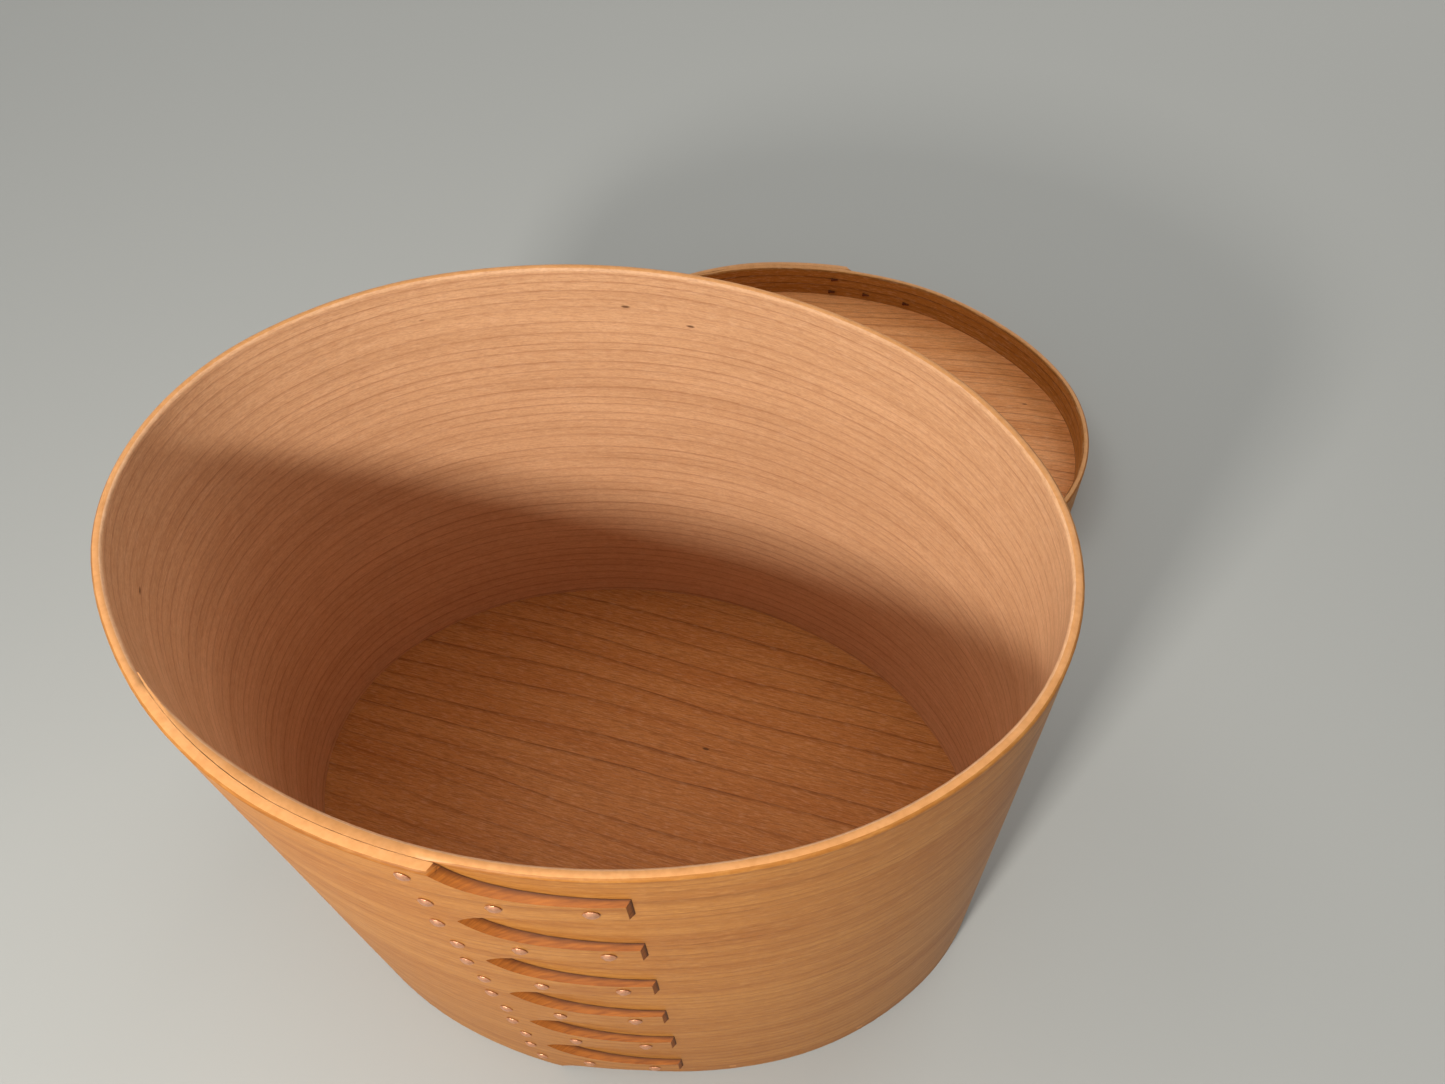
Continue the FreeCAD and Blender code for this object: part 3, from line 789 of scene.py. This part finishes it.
@dataclass
class Finishes:
    """The finishes of the box and the lid, each with what its working gives the eye."""

    # The outside took the most oil: red-brown, lined close and dark, with pale silvery flecks.
    outside: OiledCherry = OiledCherry(
        "oiled_cherry_outside", GrainRun.ROUND_THE_WALL, "#B17735", "#9B5F25", "#713D11",
        flecked="#CE9959", ring_mm=3.2, line_strength=0.6, line_width=0.2, gum_strength=0.2)
    # The inside was wiped with little oil: a pale pinkish tan with thin lines.
    inside: OiledCherry = OiledCherry(
        "oiled_cherry_inside", GrainRun.ROUND_THE_WALL, "#DAAB80", "#CC9D73", "#8C5230",
        flecked="#ECC39E", ring_mm=3.5, line_strength=0.62, line_width=0.12)
    # The rim is the strip's edge, sanded smooth: a plain light ring that shines a little.
    rim: OiledCherry = OiledCherry(
        "sanded_cherry_rim", GrainRun.ROUND_THE_WALL, "#CE945E", "#C28850", "#9C6530",
        fleck_strength=0.08, line_strength=0.2, gloss=Gloss.SANDED_EDGE)
    # The board is a slice of a wide plank: far-apart lines that sweep along it, and long pores.
    board: OiledCherry = OiledCherry(
        "oiled_cherry_board", GrainRun.ALONG_THE_BOARD, "#C6884A", "#B8773B", "#6E3812",
        ring_mm=7.2, line_strength=0.85, line_width=0.08, drift_mm=20.0, tilt_deg=3.0,
        pore_mm=(4.0, 0.3), pore_strength=0.5)
    # The lid's strip was cut from darker wood: golden brown with strong late-wood lines.
    lid_inside: OiledCherry = OiledCherry(
        "oiled_cherry_lid_inside", GrainRun.ROUND_THE_WALL, "#BC7E38", "#A86A26", "#562A08",
        ring_mm=3.2, line_strength=0.85, line_width=0.16)
    # The lid's board is lighter and redder, with arched lines and long pores.
    lid_board: OiledCherry = OiledCherry(
        "oiled_cherry_lid_board", GrainRun.ALONG_THE_BOARD, "#E29C60", "#D2884A", "#7C3C12",
        ring_mm=4.4, line_strength=0.85, line_width=0.11, drift_mm=24.0, tilt_deg=-4.0,
        pore_mm=(4.0, 0.3), pore_strength=0.45)
    carved: CarvedCherry = CarvedCherry()
    # A peg's end was cut and sanded flush: small light brown dots in the wall.
    peg_ends: CarvedCherry = CarvedCherry("peg_end_grain", "#C98F58", "#A86C38")
    tack_heads: HammeredCopper = HammeredCopper()
    # The clinched points are brown copper, partly browned by the oiled wood and partly painted shade.
    tack_points: HammeredCopper = HammeredCopper.browned_and_shaded()

    def band_materials(self) -> list[bpy.types.Material]:
        """Return the box's band's materials in the order of BandFace."""
        return [self.outside.material(), self.inside.material(), self.rim.material(),
                self.carved.material()]

    def lid_band_materials(self, band: list[bpy.types.Material]) -> list[bpy.types.Material]:
        """Return the lid's band's materials: the box's, but for the inside.

        Args:
            band: The box's band's materials in the order of BandFace.

        Returns:
            The lid's, in the same order.
        """
        return [*band[:BandFace.INSIDE], self.lid_inside.material(), *band[BandFace.RIM:]]


@dataclass(frozen=True)
class SoftLamp:
    """A square soft lamp that faces the middle of the set, in metres and watts."""

    name: str
    bearing_deg: float
    height_deg: float
    distance: float
    size: float
    power: float
    colour: str = "#FFFAF4"

    def hang(self, middle: Vector) -> None:
        """Hang the lamp.

        Args:
            middle: The place it faces.
        """
        lamp = bpy.data.lights.new(self.name, "AREA")
        lamp.size = self.size
        lamp.energy = self.power
        lamp.color = linear(self.colour)[:3]
        bearing, height = math.radians(self.bearing_deg), math.radians(self.height_deg)
        away = Vector((math.cos(height) * math.cos(bearing), math.cos(height) * math.sin(bearing),
                       math.sin(height)))
        holder = bpy.data.objects.new(self.name, lamp)
        facing = away.to_track_quat("Z", "Y").to_matrix().to_4x4()
        holder.matrix_world = Matrix.Translation(middle + away * self.distance) @ facing
        # A view that takes in a lamp shows the floor and the sky behind it, and no bright square.
        holder.visible_camera = False
        bpy.context.scene.collection.objects.link(holder)


@dataclass
class Studio:
    """The floor, the lamps, the sky and the camera."""

    floor_size: float = 6.0
    # The floor lies a hair lower than the wood, so that the two don't share a plane.
    floor_drop: float = 0.1 * MM
    # A wide lens near the box: where it stands, and its heading, pitch and roll in radians.
    lens_mm: float = 27.73
    sensor_mm: float = 36.0
    nearest: float = 10.0 * MM
    eye_mm: Triple = (73.49, -131.50, 336.01)
    heading: float = -0.30005
    pitch: float = 0.93375
    roll: float = -0.06683
    # A small lamp casts the rim's shade into the box, and three large ones fill from round about.
    key_lamp: SoftLamp = SoftLamp("key_lamp", -100.0, 34.0, 0.55, 0.065, 3.0)
    side_lamp: SoftLamp = SoftLamp("side_lamp", 180.0, 61.0, 1.5, 0.6, 4.0)
    back_lamp: SoftLamp = SoftLamp("back_lamp", 65.0, 38.0, 1.5, 0.8, 5.0)
    top_lamp: SoftLamp = SoftLamp("top_lamp", 90.0, 86.0, 1.5, 0.8, 2.5)
    # How bright the sky is for the wood, where 1 is the white that the eye sees.
    sky: float = 0.39
    # What the lamps face, in metres.
    middle: Triple = (0.0, 0.03, 0.08)

    def lay_floor(self) -> None:
        """Lay the floor."""
        mesh = bpy.data.meshes.new("floor")
        shape = bmesh.new()
        bmesh.ops.create_grid(shape, x_segments=1, y_segments=1, size=self.floor_size,
                              matrix=Matrix.Translation((0.0, 0.0, -self.floor_drop)))
        shape.to_mesh(mesh)
        shape.free()
        mesh.materials.append(PaleFloor().material())
        floor = bpy.data.objects.new("floor", mesh)
        bpy.context.scene.collection.objects.link(floor)

    def paint_sky(self) -> None:
        """Light the scene evenly from all round, with a white background for the camera."""
        world = bpy.data.worlds.new("sky")
        bpy.context.scene.world = world
        world.use_nodes = True
        world.node_tree.nodes.clear()
        sheet = NodeSheet(world.node_tree)
        strength = sheet.add("MapRange", {0: sheet.seen(), 3: self.sky})
        glow = sheet.add("Background", {"Color": linear(WHITE), "Strength": strength})
        sheet.add("OutputWorld", {"Surface": glow})

    def place_camera(self) -> None:
        """Stand the camera above the front of the box, looking down into it."""
        ahead = Vector((math.sin(self.heading) * math.cos(self.pitch),
                        math.cos(self.heading) * math.cos(self.pitch), -math.sin(self.pitch)))
        level = ahead.cross(Vector((0.0, 0.0, 1.0))).normalized()
        over = level.cross(ahead)
        right = level * math.cos(self.roll) + over * math.sin(self.roll)
        top = over * math.cos(self.roll) - level * math.sin(self.roll)
        camera = bpy.data.cameras.new("camera")
        camera.lens = self.lens_mm
        camera.sensor_width = self.sensor_mm
        camera.clip_start = self.nearest
        holder = bpy.data.objects.new("camera", camera)
        turn = Matrix((right, top, -ahead)).transposed().to_4x4()
        holder.matrix_world = Matrix.Translation(Vector(self.eye_mm) * MM) @ turn
        bpy.context.scene.collection.objects.link(holder)
        bpy.context.scene.camera = holder

    def build(self) -> None:
        """Set the whole stage."""
        self.lay_floor()
        for lamp in (self.key_lamp, self.side_lamp, self.back_lamp, self.top_lamp):
            lamp.hang(Vector(self.middle))
        self.paint_sky()
        self.place_camera()
        bpy.context.scene.view_settings.view_transform = "Standard"
        LOG.info("studio set")


@dataclass
class OvalVessel:
    """The box: a wound band with its board, tacks and pegs."""

    body: str = "box"
    band: str = "box_band"
    board: str = "box_bottom"
    pegs: str = "bottom_pegs"
    tacks: tuple[str, ...] = ("box_seam_tacks", "finger_root_tacks", "finger_tip_tacks")
    height: float = 152.0 * MM

    def stands(self) -> Matrix:
        """Return where the strip's own frame stands in the shared one."""
        return Matrix.Identity(4)

    def build(self, strip: list[bpy.types.Material], board: bpy.types.Material,
              pegs: bpy.types.Material, copper: list[bpy.types.Material]) -> None:
        """Make and dress every piece of the vessel.

        Args:
            strip: Finishes of the band, in the order of BandFace.
            board: Finish of the board.
            pegs: Finish of the pegs.
            copper: Finishes of the tacks, in the order of TackPart.
        """
        WoundBand(self.band, self.body, self.stands(), self.height).build(strip)
        dress(self.board, board)
        dress(self.pegs, pegs)
        for row in self.tacks:
            CopperTacks(row, self.body, self.stands()).build(copper)


@dataclass
class OvalLid(OvalVessel):
    """The lid: a low vessel of the same make, turned over and laid askew behind the box."""

    body: str = "lid"
    band: str = "lid_band"
    board: str = "lid_top"
    pegs: str = "lid_pegs"
    tacks: tuple[str, ...] = ("lid_seam_tacks", "lid_root_tack", "lid_tip_tack")
    height: float = 20.0 * MM
    place: Pair = (18.0 * MM, 160.5 * MM)
    askew_deg: float = 2.2

    def stands(self) -> Matrix:
        """Return where the strip's own frame stands in the shared one, with the open rim up."""
        turned_over = (Matrix.Rotation(math.radians(self.askew_deg), 4, "Z")
                       @ Matrix.Rotation(math.pi, 4, "X"))
        return Matrix.Translation((*self.place, self.height)) @ turned_over


def main() -> None:
    """Make the box and the lid, and set the studio."""
    logging.basicConfig(level=logging.INFO)
    bpy.context.view_layer.update()
    finishes = Finishes()
    strip = finishes.band_materials()
    pegs = finishes.peg_ends.material()
    copper = [finishes.tack_heads.material(), finishes.tack_points.material()]
    OvalVessel().build(strip, finishes.board.material(), pegs, copper)
    OvalLid().build(finishes.lid_band_materials(strip), finishes.lid_board.material(), pegs, copper)
    Studio().build()
    bpy.context.view_layer.update()


if __name__ == "__main__":
    main()
